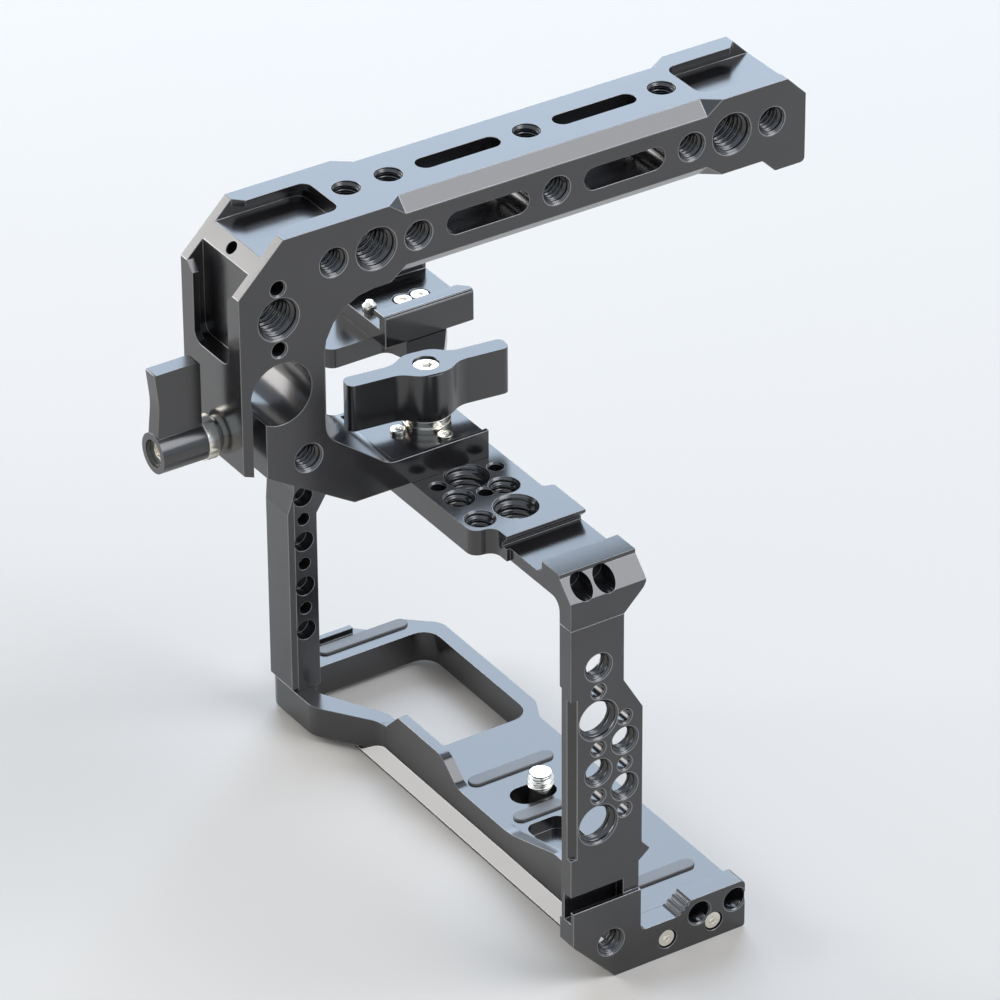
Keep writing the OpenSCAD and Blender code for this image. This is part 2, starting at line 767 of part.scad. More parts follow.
module top_frame() placed() color([0.13, 0.13, 0.14]) difference() {
    union() {
        translate([0, 0, bar_z - bar_t]) linear_extrude(bar_t) polygon(bar_outline());
        translate([0, 0, bar_z - arm_t]) linear_extrude(arm_t) polygon(arm_outline());
        // Corner block with its leg, drawn in x and z and then cut round at the back
        difference() {
            translate([0, bar_wide_y, 0]) rotate([90, 0, 0]) linear_extrude(bar_wide_y - side_y)
                polygon(rounded([
                    [block_x, bar_z, 0],
                    [block_x, bar_z - bar_t, 0],
                    [side_in, bar_z - bar_t, throat_in],
                    [side_in, seam_z, 0],
                    [side_x, seam_z, 0],
                    [side_x, bar_z - block_bevel, edge_bevel],
                    [side_x - block_bevel, bar_z, edge_bevel]
                ]));
            across(side_in - block_bevel, side_x + over)
                polygon(rounded([
                    [side_y + post_w, seam_z - over, 0],
                    [bar_wide_y + over, seam_z - over, 0],
                    [bar_wide_y + over, bar_z + over, 0],
                    [bar_wide_y, bar_z + over, 0],
                    [bar_wide_y, bar_z - bar_t, block_back_r],
                    [side_y + post_w, seam_z, block_back_r / 2]
                ]));
        }
    }
    // Groove across the bar with an overhanging lip on its left
    translate([0, bar_y - over, 0]) rotate([90, 0, 0]) mirror([0, 0, 1])
        linear_extrude(bar_wide_y - bar_y + 2 * over) polygon([
            [groove_x, bar_z + over],
            [groove_x, bar_z - edge_bevel],
            [groove_x - groove_lip, bar_z - edge_bevel - groove_lip],
            [groove_x - groove_lip, bar_z - groove_d],
            [groove_x + groove_l, bar_z - groove_d],
            [block_x - edge_bevel / 2, bar_z - groove_d + edge_bevel],
            [block_x, bar_z - groove_d + 2 * edge_bevel],
            [block_x, bar_z + over]
        ]);
    // Large threads with their locating holes, and small threads
    for (i = [0:2]) translate([i * bar_pitch, knob_y + (i == 2 ? bar_last_y : 0), bar_z - bar_t]) {
        drill(large_r, bar_t);
        if (i < 2) for (a = [0, 90, 270]) rotate(a) translate([pin_pitch, 0, 0]) drill(pin_r, bar_t);
    }
    for (p = [[bar_pitch + pin_pitch - edge_bevel, bar_y + bar_step_y],
            [2 * bar_pitch, bar_y + bar_step_y - edge_bevel],
            [bar_pitch + pin_pitch, knob_y + bar_step_y - edge_bevel / 2]])
        translate([p.x, p.y, bar_z - bar_t]) drill(small_r, bar_t);
    // Two plain holes drilled level into the corner's bevel
    for (i = [0:1])
        translate([side_x - block_bevel + block_hole_drop - block_l,
                side_y + block_hole_y + i * block_hole_pitch, bar_z - block_hole_drop])
            to_x() cylinder(h = block_l + bar_t, r = block_hole_r);
    // Half lap for the side plate's tongue
    block([side_in - lap_gap, side_y + edge_bevel - lap_gap, seam_z - over],
        [side_in + lap_t, side_y + post_w + over, seam_z + lap_h]);
    lap_screws_at() lap_space();
    left_top_screws_at() screw_space(screw_r, bar_t, head_r, head_h);
    cold_screws_at() screw_space(screw_r, cold_screw_l, head_r, head_h);
}

cold_floor = cold_h - shoe_d;
cold_screw_y = 82.2;
cold_screw_pitch = 4.5;
cold_screw_l = cold_floor + arm_t - head_h - tip_gap;
stop_y = 71;
stop_r = 1.7;
stop_shank_share = 0.7;
stop_h = 2.4;
module cold_screws_at() {
    for (i = [-0.5, 0.5])
        translate([-cold_x, cold_screw_y + i * cold_screw_pitch, bar_z + cold_floor - head_h]) children();
}

// Accessory shoe on the arm: open at the back, with a stop screw at the front
module cold_shoe() placed() color([0.12, 0.12, 0.13]) difference() {
    translate([-cold_x, cold_y, bar_z]) translate([-cold_w / 2, 0, 0]) cube([cold_w, cold_l, cold_h]);
    for (s = [-1, 1])
        translate([-cold_x + s * cold_w / 2, cold_y + cold_l / 2, bar_z + cold_h]) rotate([0, 45, 0])
            cube([edge_bevel, cold_l + 2 * over, edge_bevel], center = true);
    translate([-cold_x, cold_y + cold_l, bar_z + cold_h]) rotate([0, 0, -90]) shoe_cut(cold_l + over, over);
    cold_screws_at() screw_space(screw_r + fit_gap, cold_screw_l, head_r, head_h);
    translate([-cold_x, stop_y, bar_z - over]) cylinder(h = cold_h, r = stop_r * stop_shank_share);
}
module cold_shoe_screws() placed() color([0.8, 0.8, 0.82])
    cold_screws_at() socket_screw(screw_r, cold_screw_l, head_r, head_h);
module cold_shoe_stop_screw() placed() color([0.8, 0.8, 0.82])
    translate([-cold_x, stop_y, bar_z + cold_floor]) {
        translate([0, 0, -cold_floor]) cylinder(h = cold_floor, r = stop_r * stop_shank_share);
        cylinder(h = stop_h - stop_r / 2, r = stop_r);
        translate([0, 0, stop_h - stop_r / 2]) cylinder(h = stop_r / 2, r1 = stop_r, r2 = stop_r / 2);
    }

// Camera screw: it spins in its keeper, and both slide along the slot
module camera_screw() placed() color([0.82, 0.82, 0.84]) translate([slot_x, camera_y, 0]) difference() {
    union() {
        translate([0, 0, camera_head_z]) cylinder(h = camera_head_h, r = camera_head_r);
        translate([0, 0, camera_head_z])
            cylinder(h = plate_h + stud_h - camera_head_z - hole_bevel, r = camera_neck_r);
        translate([0, 0, plate_h + edge_bevel]) cylinder(h = stud_h - edge_bevel - hole_bevel, r = small_r);
        translate([0, 0, plate_h + stud_h - hole_bevel])
            cylinder(h = hole_bevel, r1 = small_r, r2 = small_r - hole_bevel);
    }
    block([-camera_head_r - over, -edge_bevel, -over],
        [camera_head_r + over, edge_bevel, camera_head_z + socket_h]);
}
module camera_screw_keeper() placed() color([0.7, 0.7, 0.72])
    translate([slot_x, camera_y, keeper_z]) difference() {
        cylinder(h = keeper_t, r = camera_head_r - screw_gap);
        translate([0, 0, -over]) cylinder(h = keeper_t + 2 * over, r = camera_neck_r + fit_gap);
    }

// The handle: one milled piece with a beam, a rod clamp and a foot
function handle_outline() = rounded([
    [0, top_z - nose, 0],
    [0, jaw_z, edge_bevel],
    [leg_bevel_y, jaw_z - leg_bevel_z, edge_bevel],
    [sole_y, bar_z, edge_bevel],
    [sole_end, bar_z, 0],
    [sole_end, sole_z, 0],
    [heel_y, sole_z, heel_r],
    [leg_y, sole_z + heel_rise, heel_r],
    [leg_y, beam_z, throat_r],
    [handle_l - tail_l, beam_z, edge_bevel],
    [handle_l - tail_l + tail_drop, beam_z - tail_drop, edge_bevel],
    [handle_l, beam_z - tail_drop, tail_corner],
    [handle_l, top_z - tail_bevel, 0],
    [handle_l - tail_bevel, top_z, 0],
    [nose, top_z, 0]
]);

// A 45 degree bevel along the beam that runs out at both ends
module long_bevel() {
    ramp = bevel_ramp * (beam_bevel + over) / beam_bevel;
    rotate([90, 0, 90]) linear_extrude(2 * (beam_bevel + 2 * over), center = true)
        polygon([[bevel_from, -beam_bevel], [bevel_to, -beam_bevel],
            [bevel_to + ramp, over], [bevel_from - ramp, over]]);
}

module handle_body() placed() color([0.12, 0.12, 0.13]) difference() {
    across(-handle_x, handle_x) polygon(handle_outline());
    for (m = [0, 1]) mirror([m, 0, 0]) for (s = [-1, 1])
        translate([handle_x, 0, hole_z + s * beam_h / 2]) rotate([0, 90 - s * 45, 0]) long_bevel();
    // Accessory shoes: on top at the front, on the front face, and on top at the back
    translate([0, nose, top_z]) rotate([0, 0, 90]) shoe_cut(shoe_a_end - nose, shoe_d + over);
    translate([0, 0, top_z - nose]) rotate([90, 0, 0]) rotate([0, 0, -90])
        shoe_cut(top_z - nose - hole_z + shoe_c_drop, shoe_d + over);
    translate([0, handle_l - tail_bevel, top_z]) rotate([0, 0, -90])
        shoe_cut(handle_l - tail_bevel - shoe_b_start, tail_bevel + over);
    // Holes across the beam
    for (y = [mid_y - slot_pitch - 2 * hole_pitch, mid_y - slot_pitch, mid_y, mid_y + slot_pitch,
            mid_y + slot_pitch + 2 * hole_pitch])
        translate([-handle_x, y, hole_z]) to_x() drill(small_r, handle_w);
    for (y = [mid_y - slot_pitch - hole_pitch, mid_y + slot_pitch + hole_pitch])
        translate([-handle_x, y, hole_z]) to_x() drill(large_r, handle_w);
    for (y = [mid_y - slot_pitch / 2, mid_y + slot_pitch / 2]) {
        translate([-handle_x - over, y - (slot_l - slot_h) / 2, hole_z]) rotate([90, 0, 90])
            stadium(slot_l - slot_h, slot_h / 2, handle_w + 2 * over);
        translate([0, y - (slot_l - top_slot_w) / 2, hole_z]) rotate([0, 0, 90])
            stadium(slot_l - top_slot_w, top_slot_w / 2, beam_h / 2 + over);
    }
    // Threads in the beam's top
    for (y = [mid_y - slot_pitch - hole_pitch, mid_y - slot_pitch, mid_y, mid_y + slot_pitch])
        translate([0, y, top_z - thread_depth]) cylinder(h = thread_depth + over, r = small_r);
    // Front column: large thread with its locating holes, rod bore, low thread
    translate([-handle_x, column_y, column_z]) to_x() drill(large_r, handle_w);
    for (s = [-1, 1])
        translate([-handle_x, column_y, column_z + s * pin_pitch]) to_x() drill(pin_r, handle_w);
    translate([-handle_x, rod_y, rod_z]) to_x() cylinder(h = handle_w + 2 * over, r = rod_r);
    translate([-handle_x - over, rod_y, rod_z]) to_x() cylinder(h = handle_w + 2 * over, r = rod_r);
    translate([-handle_x, low_y, low_z]) to_x() drill(small_r, handle_w);
    // Clamp slit and the bolt's hole
    block([-handle_x - over, slit_y, bar_z], [handle_x + over, slit_y + slit_w, rod_z]);
    translate([0, -over, lever_z]) to_y()
        cylinder(h = lever_bolt_in + tip_gap + over, r = lever_bolt_r + fit_gap);
    // Small hole square to the nose's face, and the front shoe's stop hole
    translate([0, nose / 2, top_z - nose / 2]) rotate([45, 0, 0]) translate([0, 0, -pin_pitch])
        cylinder(h = pin_pitch + over, r = screw_r);
    translate([shoe_w / 4, -over, hole_z - shoe_c_drop + shoe_r]) to_y()
        cylinder(h = shoe_d + pin_pitch / 2, r = screw_r);
    // Foot: sunken floor, knob hole and pin holes
    block([-handle_x + sole_rim, sole_wall, sole_floor_z],
        [handle_x - sole_rim, sole_end + over, sole_z + over]);
    translate([0, knob_y, bar_z]) drill(large_r + screw_gap, sole_floor_z - bar_z);
    handle_pins_at() translate([0, 0, -sole_h]) cylinder(h = sole_h + over, r = screw_r);
}

module handle_pins_at() {
    for (p = [[0, -pin_pitch], [pin_pitch, 0]]) translate([p.x, knob_y + p.y, sole_floor_z]) children();
}
module handle_pins() placed() color([0.8, 0.8, 0.82]) handle_pins_at() difference() {
    union() {
        translate([0, 0, bar_z - sole_floor_z - pin_in])
            cylinder(h = sole_floor_z - bar_z + pin_in + pin_head_h / 2, r = screw_r);
        cylinder(h = pin_head_h, r = screw_r + hole_bevel / 2);
    }
    translate([0, 0, pin_head_h - socket_h / 2]) cylinder(h = socket_h, r = screw_r / 2, $fn = 6);
}

// A winged grip's centre: bore for the spring and cap above a web, splined socket below.
// The grip's seat is at z = 0 and its top at h.
module grip_bore(h, top_r, socket_r, lift, sink) {
    ledge = h - sink - cap_t - spring_h - lift;
    translate([0, 0, -over]) cylinder(h = ledge - web_t + over, r = socket_r + fit_gap);
    translate([0, 0, ledge - web_t - over]) cylinder(h = web_t + 2 * over, r = stem_r + fit_gap);
    translate([0, 0, ledge]) cylinder(h = h - ledge + over, r = top_r + fit_gap);
}
module grip_cap(h, top_r, sink) {
    difference() {
        union() {
            translate([0, 0, h - sink - cap_t]) cylinder(h = cap_t, r = top_r);
            translate([0, 0, spline_h - cap_t])
                cylinder(h = h - sink - cap_t - spline_h + 2 * cap_t, r = stem_r);
        }
        translate([0, 0, h - sink - socket_h]) cylinder(h = socket_h + over, r = stem_r, $fn = 6);
    }
}
module grip_spring(h, top_r, sink) {
    translate([0, 0, h - sink - cap_t - spring_h]) difference() {
        cylinder(h = spring_h, r = top_r - spring_wall / 2);
        translate([0, 0, -over]) cylinder(h = spring_h + 2 * over, r = top_r - 3 * spring_wall / 2);
    }
}

knob_full_h = knob_top - knob_z;
knob_hub_r = knob_hub_d / 2;
wing_root_share = 1.3;
wing_cheek_share = 0.62;
wing_full_share = 0.94;
module knob_wing() placed() color([0.1, 0.1, 0.11]) translate([0, knob_y, knob_z]) difference() {
    union() {
        cylinder(h = knob_full_h - hole_bevel, r = knob_hub_r);
        translate([0, 0, wing_rise]) rotate([0, 0, 90 + knob_turn]) linear_extrude(knob_h) polygon(rounded([
            for (s = [-1, 1]) each [
                [s * knob_l / 2, s * wing_t / 2, wing_t / 3],
                [s * knob_hub_r * wing_root_share, s * wing_t / 2, knob_hub_r],
                [s * knob_hub_r * wing_cheek_share, s * knob_hub_r * wing_full_share, knob_hub_r],
                [-s * knob_hub_r * wing_cheek_share, s * knob_hub_r * wing_full_share, knob_hub_r],
                [-s * knob_hub_r * wing_root_share, s * wing_t / 2, knob_hub_r],
                [-s * knob_l / 2, s * wing_t / 2, wing_t / 3]
            ]]));
    }
    grip_bore(knob_full_h, cap_r, spline_r, knob_lift, cap_sink);
}
module knob_bolt() placed() color([0.75, 0.75, 0.77]) translate([0, knob_y, knob_z]) difference() {
    union() {
        translate([0, 0, -bolt_in]) cylinder(h = bolt_in, r = bolt_r);
        cylinder(h = spline_h, r = spline_r);
    }
    translate([0, 0, spline_h - 2 * cap_t]) cylinder(h = 2 * cap_t + over, r = stem_r);
}
module knob_cap_screw() placed() color([0.82, 0.82, 0.84]) translate([0, knob_y, knob_z])
    grip_cap(knob_full_h, cap_r, cap_sink);
module knob_spring() placed() color([0.6, 0.6, 0.62]) translate([0, knob_y, knob_z])
    grip_spring(knob_full_h, cap_r, cap_sink);
module knob_washer() placed() color([0.82, 0.82, 0.84]) translate([0, knob_y, sole_floor_z]) difference() {
    union() {
        cylinder(h = washer_t, r = knob_washer_r - washer_groove);
        cylinder(h = (washer_t - washer_groove) / 2, r = knob_washer_r);
        translate([0, 0, (washer_t + washer_groove) / 2])
            cylinder(h = (washer_t - washer_groove) / 2, r = knob_washer_r);
    }
    translate([0, 0, -over]) cylinder(h = washer_t + 2 * over, r = bolt_r + fit_gap);
}

// The lever's parts are drawn with their seat on the washer and their axis along -y
module at_lever() {
    translate([0, -lever_washer_t, lever_z]) rotate([90, 0, 0]) children();
}
lever_hub_r = lever_hub_d / 2;
lever_waist_share = 0.6;
module lever_arm() placed() color([0.1, 0.1, 0.11]) at_lever() difference() {
    union() {
        cylinder(h = lever_hub_l, r = lever_hub_r);
        across(-lever_wing_t / 2, lever_wing_t / 2) polygon(rounded([
            [0, 0, 0],
            [lever_l, 0, edge_bevel],
            [lever_l, lever_hub_l, hole_bevel],
            [lever_l * lever_waist_share, lever_hub_l - lever_waist, lever_l],
            [lever_hub_r / 2, lever_hub_l, 0],
            [0, lever_hub_l, 0]
        ]));
    }
    grip_bore(lever_hub_l, lever_cap_r, lever_spline_r, lever_lift, lever_cap_sink);
}
module lever_bolt() placed() color([0.75, 0.75, 0.77]) at_lever() difference() {
    union() {
        translate([0, 0, -lever_washer_t - lever_bolt_in])
            cylinder(h = lever_bolt_in + lever_washer_t, r = lever_bolt_r);
        cylinder(h = spline_h, r = lever_spline_r);
    }
    translate([0, 0, spline_h - 2 * cap_t]) cylinder(h = 2 * cap_t + over, r = stem_r);
}
module lever_screw() placed() color([0.82, 0.82, 0.84]) at_lever()
    grip_cap(lever_hub_l, lever_cap_r, lever_cap_sink);
module lever_spring() placed() color([0.6, 0.6, 0.62]) at_lever()
    grip_spring(lever_hub_l, lever_cap_r, lever_cap_sink);
module lever_washer() placed() color([0.82, 0.82, 0.84]) at_lever() difference() {
    union() {
        translate([0, 0, -lever_washer_t]) cylinder(h = lever_washer_t, r = lever_collar_r);
        translate([0, 0, -lever_flange_t]) cylinder(h = lever_flange_t, r = lever_washer_r);
    }
    translate([0, 0, -lever_washer_t - over])
        cylinder(h = lever_washer_t + 2 * over, r = lever_bolt_r + fit_gap);
}

base_plate();
right_side_plate();
left_post();
top_frame();
side_plate_screws();
lap_screws();
left_post_top_screws();
left_post_base_screws();
pad_left();
pad_inner();
pad_middle();
pad_right();
camera_screw();
camera_screw_keeper();
cold_shoe();
cold_shoe_screws();
cold_shoe_stop_screw();
handle_body();
handle_pins();
knob_wing();
knob_bolt();
knob_cap_screw();
knob_washer();
knob_spring();
lever_arm();
lever_bolt();
lever_screw();
lever_washer();
lever_spring();
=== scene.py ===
"""Looks of the camera cage: finishes, machined edges, threads and small hardware detail.

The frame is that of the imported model: +Z up, +Y along the lens axis towards the camera's back,
+X towards the drilled side plate. Sizes are in metres, apart from names that end in _MM or _mm and
the threaded holes' places, which are in millimetres.
"""

import json
import math

import bmesh
import bpy
from mathutils import Matrix, Vector


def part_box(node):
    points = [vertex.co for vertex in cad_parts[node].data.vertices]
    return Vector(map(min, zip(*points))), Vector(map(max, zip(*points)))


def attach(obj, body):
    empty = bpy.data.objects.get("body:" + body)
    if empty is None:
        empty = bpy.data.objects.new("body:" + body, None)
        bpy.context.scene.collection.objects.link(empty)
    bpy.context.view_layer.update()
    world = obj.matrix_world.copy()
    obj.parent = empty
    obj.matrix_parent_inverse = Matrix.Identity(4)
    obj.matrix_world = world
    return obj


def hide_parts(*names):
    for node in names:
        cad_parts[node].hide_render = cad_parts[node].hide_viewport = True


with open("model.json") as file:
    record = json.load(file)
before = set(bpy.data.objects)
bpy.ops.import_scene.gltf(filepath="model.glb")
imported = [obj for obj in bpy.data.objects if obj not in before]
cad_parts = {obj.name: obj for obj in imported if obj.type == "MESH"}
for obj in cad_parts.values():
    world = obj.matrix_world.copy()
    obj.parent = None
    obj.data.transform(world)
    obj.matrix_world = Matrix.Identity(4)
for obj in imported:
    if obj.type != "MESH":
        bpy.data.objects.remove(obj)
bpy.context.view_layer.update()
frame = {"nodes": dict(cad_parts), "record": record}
scene = bpy.context.scene
MM = 0.001

# From the source's working axes (x from the handle's middle, y from its front face) to the frame
SHIFT_MM = Vector((3.6, -65.6, 0.0))


def place(x, y, z):
    """A point in the working axes, in millimetres, as a point of the frame in metres."""
    return (Vector((x, y, z)) + SHIFT_MM) * MM


# ---------------------------------------------------------------- materials

# Noise scales, in features per metre of the object
SLOW_SCALE, GRAIN_SCALE = 70, 5200
TURNING_SCALE, SMEAR_SCALE = 2600, 240
PEBBLE_SCALE, WEAR_SCALE = 2600, 120
FLOOR_NOISE_SCALE = 3
# Heights of the bumps, in metres
GRAIN_HEIGHT, TURNING_HEIGHT, PEBBLE_HEIGHT = 0.02 * MM, 0.01 * MM, 0.04 * MM
TURNING_BUMP, PEBBLE_BUMP = 0.05, 0.2
# The oxide skin and the rubber mirror more than a plain plastic
ANODISED_IOR, RUBBER_IOR = 1.8, 1.7
TURNING_STRETCH = (1, 1, 4)
RUBBER_ROUGHNESS = (0.42, 0.52)
BLEND_FROM, BLEND_TO = 0.3, 0.7


def new_material(name):
    """An empty node material with its shader and output joined."""
    material = bpy.data.materials.new(name)
    material.use_nodes = True
    tree = material.node_tree
    tree.nodes.clear()
    output = tree.nodes.new("ShaderNodeOutputMaterial")
    shader = tree.nodes.new("ShaderNodeBsdfPrincipled")
    tree.links.new(shader.outputs["BSDF"], output.inputs["Surface"])
    return material, tree, shader


def add_noise(tree, coordinates, scale, detail=2.0, stretch=(1, 1, 1)):
    """A noise texture in object space, scale in features per metre."""
    mapping = tree.nodes.new("ShaderNodeMapping")
    mapping.inputs["Scale"].default_value = stretch
    tree.links.new(coordinates, mapping.inputs["Vector"])
    noise = tree.nodes.new("ShaderNodeTexNoise")
    noise.inputs["Scale"].default_value = scale
    noise.inputs["Detail"].default_value = detail
    tree.links.new(mapping.outputs["Vector"], noise.inputs["Vector"])
    return noise.outputs["Fac"]


def add_range(tree, value, low, high):
    """Spreads a 0 to 1 value over low to high."""
    node = tree.nodes.new("ShaderNodeMapRange")
    node.inputs["To Min"].default_value = low
    node.inputs["To Max"].default_value = high
    tree.links.new(value, node.inputs["Value"])
    return node.outputs["Result"]


def add_colours(tree, value, low, high):
    """A blend of two colours driven by a 0 to 1 value."""
    ramp = tree.nodes.new("ShaderNodeValToRGB")
    ramp.color_ramp.elements[0].position = BLEND_FROM
    ramp.color_ramp.elements[0].color = (*low, 1)
    ramp.color_ramp.elements[1].position = BLEND_TO
    ramp.color_ramp.elements[1].color = (*high, 1)
    tree.links.new(value, ramp.inputs["Fac"])
    return ramp.outputs["Color"]


def add_bump(tree, height, strength, distance):
    """A normal that follows a 0 to 1 height, its full rise being the distance."""
    bump = tree.nodes.new("ShaderNodeBump")
    bump.inputs["Strength"].default_value = strength
    bump.inputs["Distance"].default_value = distance
    tree.links.new(height, bump.inputs["Height"])
    return bump.outputs["Normal"]


def anodised(name, low, high, roughness=(0.15, 0.23), grain=0.12, metal_share=0.0):
    """Black anodised aluminium: a fine blasted grain, a soft sheen and slow colour variation.

    The metal share sets how metallic it is; on the edge material it goes with a lighter grey to paint a
    highlight along the rounded edges.
    """
    material, tree, shader = new_material(name)
    where = tree.nodes.new("ShaderNodeTexCoord").outputs["Object"]
    slow = add_noise(tree, where, SLOW_SCALE, detail=3)
    fine = add_noise(tree, where, GRAIN_SCALE)
    tree.links.new(add_colours(tree, slow, low, high), shader.inputs["Base Color"])
    tree.links.new(add_range(tree, slow, *roughness), shader.inputs["Roughness"])
    tree.links.new(add_bump(tree, fine, grain, GRAIN_HEIGHT), shader.inputs["Normal"])
    shader.inputs["IOR"].default_value = ANODISED_IOR
    shader.inputs["Metallic"].default_value = metal_share
    return material


def turned_steel(name, low, high, roughness=(0.16, 0.24)):
    """Stainless steel with fine turning marks."""
    material, tree, shader = new_material(name)
    where = tree.nodes.new("ShaderNodeTexCoord").outputs["Object"]
    marks = add_noise(tree, where, TURNING_SCALE, detail=3, stretch=TURNING_STRETCH)
    slow = add_noise(tree, where, SMEAR_SCALE)
    tree.links.new(add_colours(tree, marks, low, high), shader.inputs["Base Color"])
    tree.links.new(add_range(tree, slow, *roughness), shader.inputs["Roughness"])
    tree.links.new(add_bump(tree, marks, TURNING_BUMP, TURNING_HEIGHT), shader.inputs["Normal"])
    shader.inputs["Metallic"].default_value = 1.0
    return material


def moulded_rubber(name, low, high):
    """Matt rubber with a fine pebbled skin."""
    material, tree, shader = new_material(name)
    where = tree.nodes.new("ShaderNodeTexCoord").outputs["Object"]
    pebble = add_noise(tree, where, PEBBLE_SCALE)
    slow = add_noise(tree, where, WEAR_SCALE)
    tree.links.new(add_colours(tree, slow, low, high), shader.inputs["Base Color"])
    tree.links.new(add_range(tree, slow, *RUBBER_ROUGHNESS), shader.inputs["Roughness"])
    tree.links.new(add_bump(tree, pebble, PEBBLE_BUMP, PEBBLE_HEIGHT), shader.inputs["Normal"])
    shader.inputs["IOR"].default_value = RUBBER_IOR
    return material


BLACK = anodised("anodised_black", (0.012, 0.012, 0.014), (0.019, 0.019, 0.022))
GRIP = anodised("anodised_grip", (0.012, 0.012, 0.013), (0.018, 0.018, 0.02), (0.17, 0.25))
# Painted highlight: a lighter, part metallic grey laid on the rounded edges so that they show as bright
# lines
EDGE_HIGHLIGHT_PAINT = anodised("anodised_painted_edge_highlight", (0.2, 0.2, 0.205), (0.3, 0.3, 0.305), (0.2, 0.3), 0.06, metal_share=0.55)
THREAD = anodised("anodised_thread", (0.014, 0.014, 0.016), (0.026, 0.026, 0.028), (0.14, 0.22), 0.06,
                  metal_share=0.05)
STEEL = turned_steel("stainless", (0.84, 0.8, 0.72), (0.92, 0.88, 0.8))
DARK_STEEL = turned_steel("blackened_steel", (0.05, 0.05, 0.055), (0.09, 0.09, 0.095), (0.3, 0.45))
RUBBER = moulded_rubber("rubber_pad", (0.12, 0.123, 0.13), (0.16, 0.164, 0.173))

SLOT_MATERIALS = {"anodised": BLACK, "steel": STEEL, "dark_screw": DARK_STEEL, "rubber": RUBBER}
NODE_MATERIALS = {"knob_wing": GRIP, "lever_arm": GRIP}

# ---------------------------------------------------------------- carried-over nodes

# Width of the rounded machined edges, for each kind of piece
EDGE_MM = {"anodised": 0.13, "steel": 0.1, "dark_screw": 0.08, "rubber": 0.25}
# Nodes that need their own width, angle under which faces count as one, and overlap guard
NODE_EDGES = {
    "knob_wing": (0.28, 1, True), "lever_arm": (0.28, 1, True),
    "cold_shoe": (0.25, 1, False), "right_side_plate": (0.13, 3, False),
    "base_plate": (0.08, 6, False), "top_frame": (0.08, 1, False),
}
EDGE_ANGLE = math.radians(19)
EDGE_SEGMENTS = 2
WELD_MM = 0.004
# Full weight to a face's size, so flat faces stay flat up to their edges
NORMAL_WEIGHT = 100


def soften_edges(node, width, flat_angle=1.0, guard=False):
    """Joins the mesh's flat triangles, rounds its edges and shades it smooth, as modifiers only."""
    weld = node.modifiers.new("weld", "WELD")
    weld.merge_threshold = WELD_MM * MM
    flat = node.modifiers.new("flat_faces", "DECIMATE")
    flat.decimate_type = "DISSOLVE"
    flat.angle_limit = math.radians(flat_angle)
    bevel = node.modifiers.new("edges", "BEVEL")
    bevel.width = width
    bevel.segments = EDGE_SEGMENTS
    bevel.limit_method = "ANGLE"
    bevel.angle_limit = EDGE_ANGLE
    bevel.harden_normals = False
    # The rounded edges take the node's last material, which on anodised nodes is the painted edge
    # highlight
    bevel.material = len(node.data.materials) - 1
    bevel.use_clamp_overlap = guard
    node.data.polygons.foreach_set("use_smooth", [True] * len(node.data.polygons))
    normals = node.modifiers.new("normals", "WEIGHTED_NORMAL")
    normals.keep_sharp = True
    normals.weight = NORMAL_WEIGHT


def dress_nodes():
    """Gives each node of the frame its finish and its rounded edges, and anodised nodes a painted
    highlight on those edges.
    """
    slots = {s["node"]: s["material_slot"] for s in frame["record"]["subparts"]}
    for name, node in frame["nodes"].items():
        slot = slots[name]
        material = NODE_MATERIALS.get(name, SLOT_MATERIALS[slot])
        node.data.materials.clear()
        node.data.materials.append(material)
        if slot == "anodised":
            # Second material: the painted highlight for the rounded edges
            node.data.materials.append(EDGE_HIGHLIGHT_PAINT)
        width, flat_angle, guard = NODE_EDGES.get(name, (EDGE_MM[slot], 1, False))
        soften_edges(node, width * MM, flat_angle, guard)


dress_nodes()

# ---------------------------------------------------------------- threads

# Radius and pitch of the 1/4 inch and the 3/8 inch thread
SMALL_R_MM, LARGE_R_MM = 3.175, 4.76
SMALL_PITCH_MM, LARGE_PITCH_MM = 1.27, 1.5875
THREAD_SIZES = {"small": (SMALL_R_MM, SMALL_PITCH_MM), "large": (LARGE_R_MM, LARGE_PITCH_MM)}
THREAD_DEPTH_SHARE = 0.54
TURN_STEPS, ROWS_PER_TURN = 40, 10
# The V profile, steepened and cut off flat at its crest and its root
FLANK_SLOPE, ROOT_FLAT = 1.5, 0.25
# Turns over which a thread fades out at its ends
FADE_TURNS = 0.6
# How deep a thread's root and its closing wall lie in the metal, the stud's as a share of its depth
ROOT_SUNK_MM, WALL_SUNK_MM, STUD_WALL_SHARE = 0.03, 0.12, 0.9


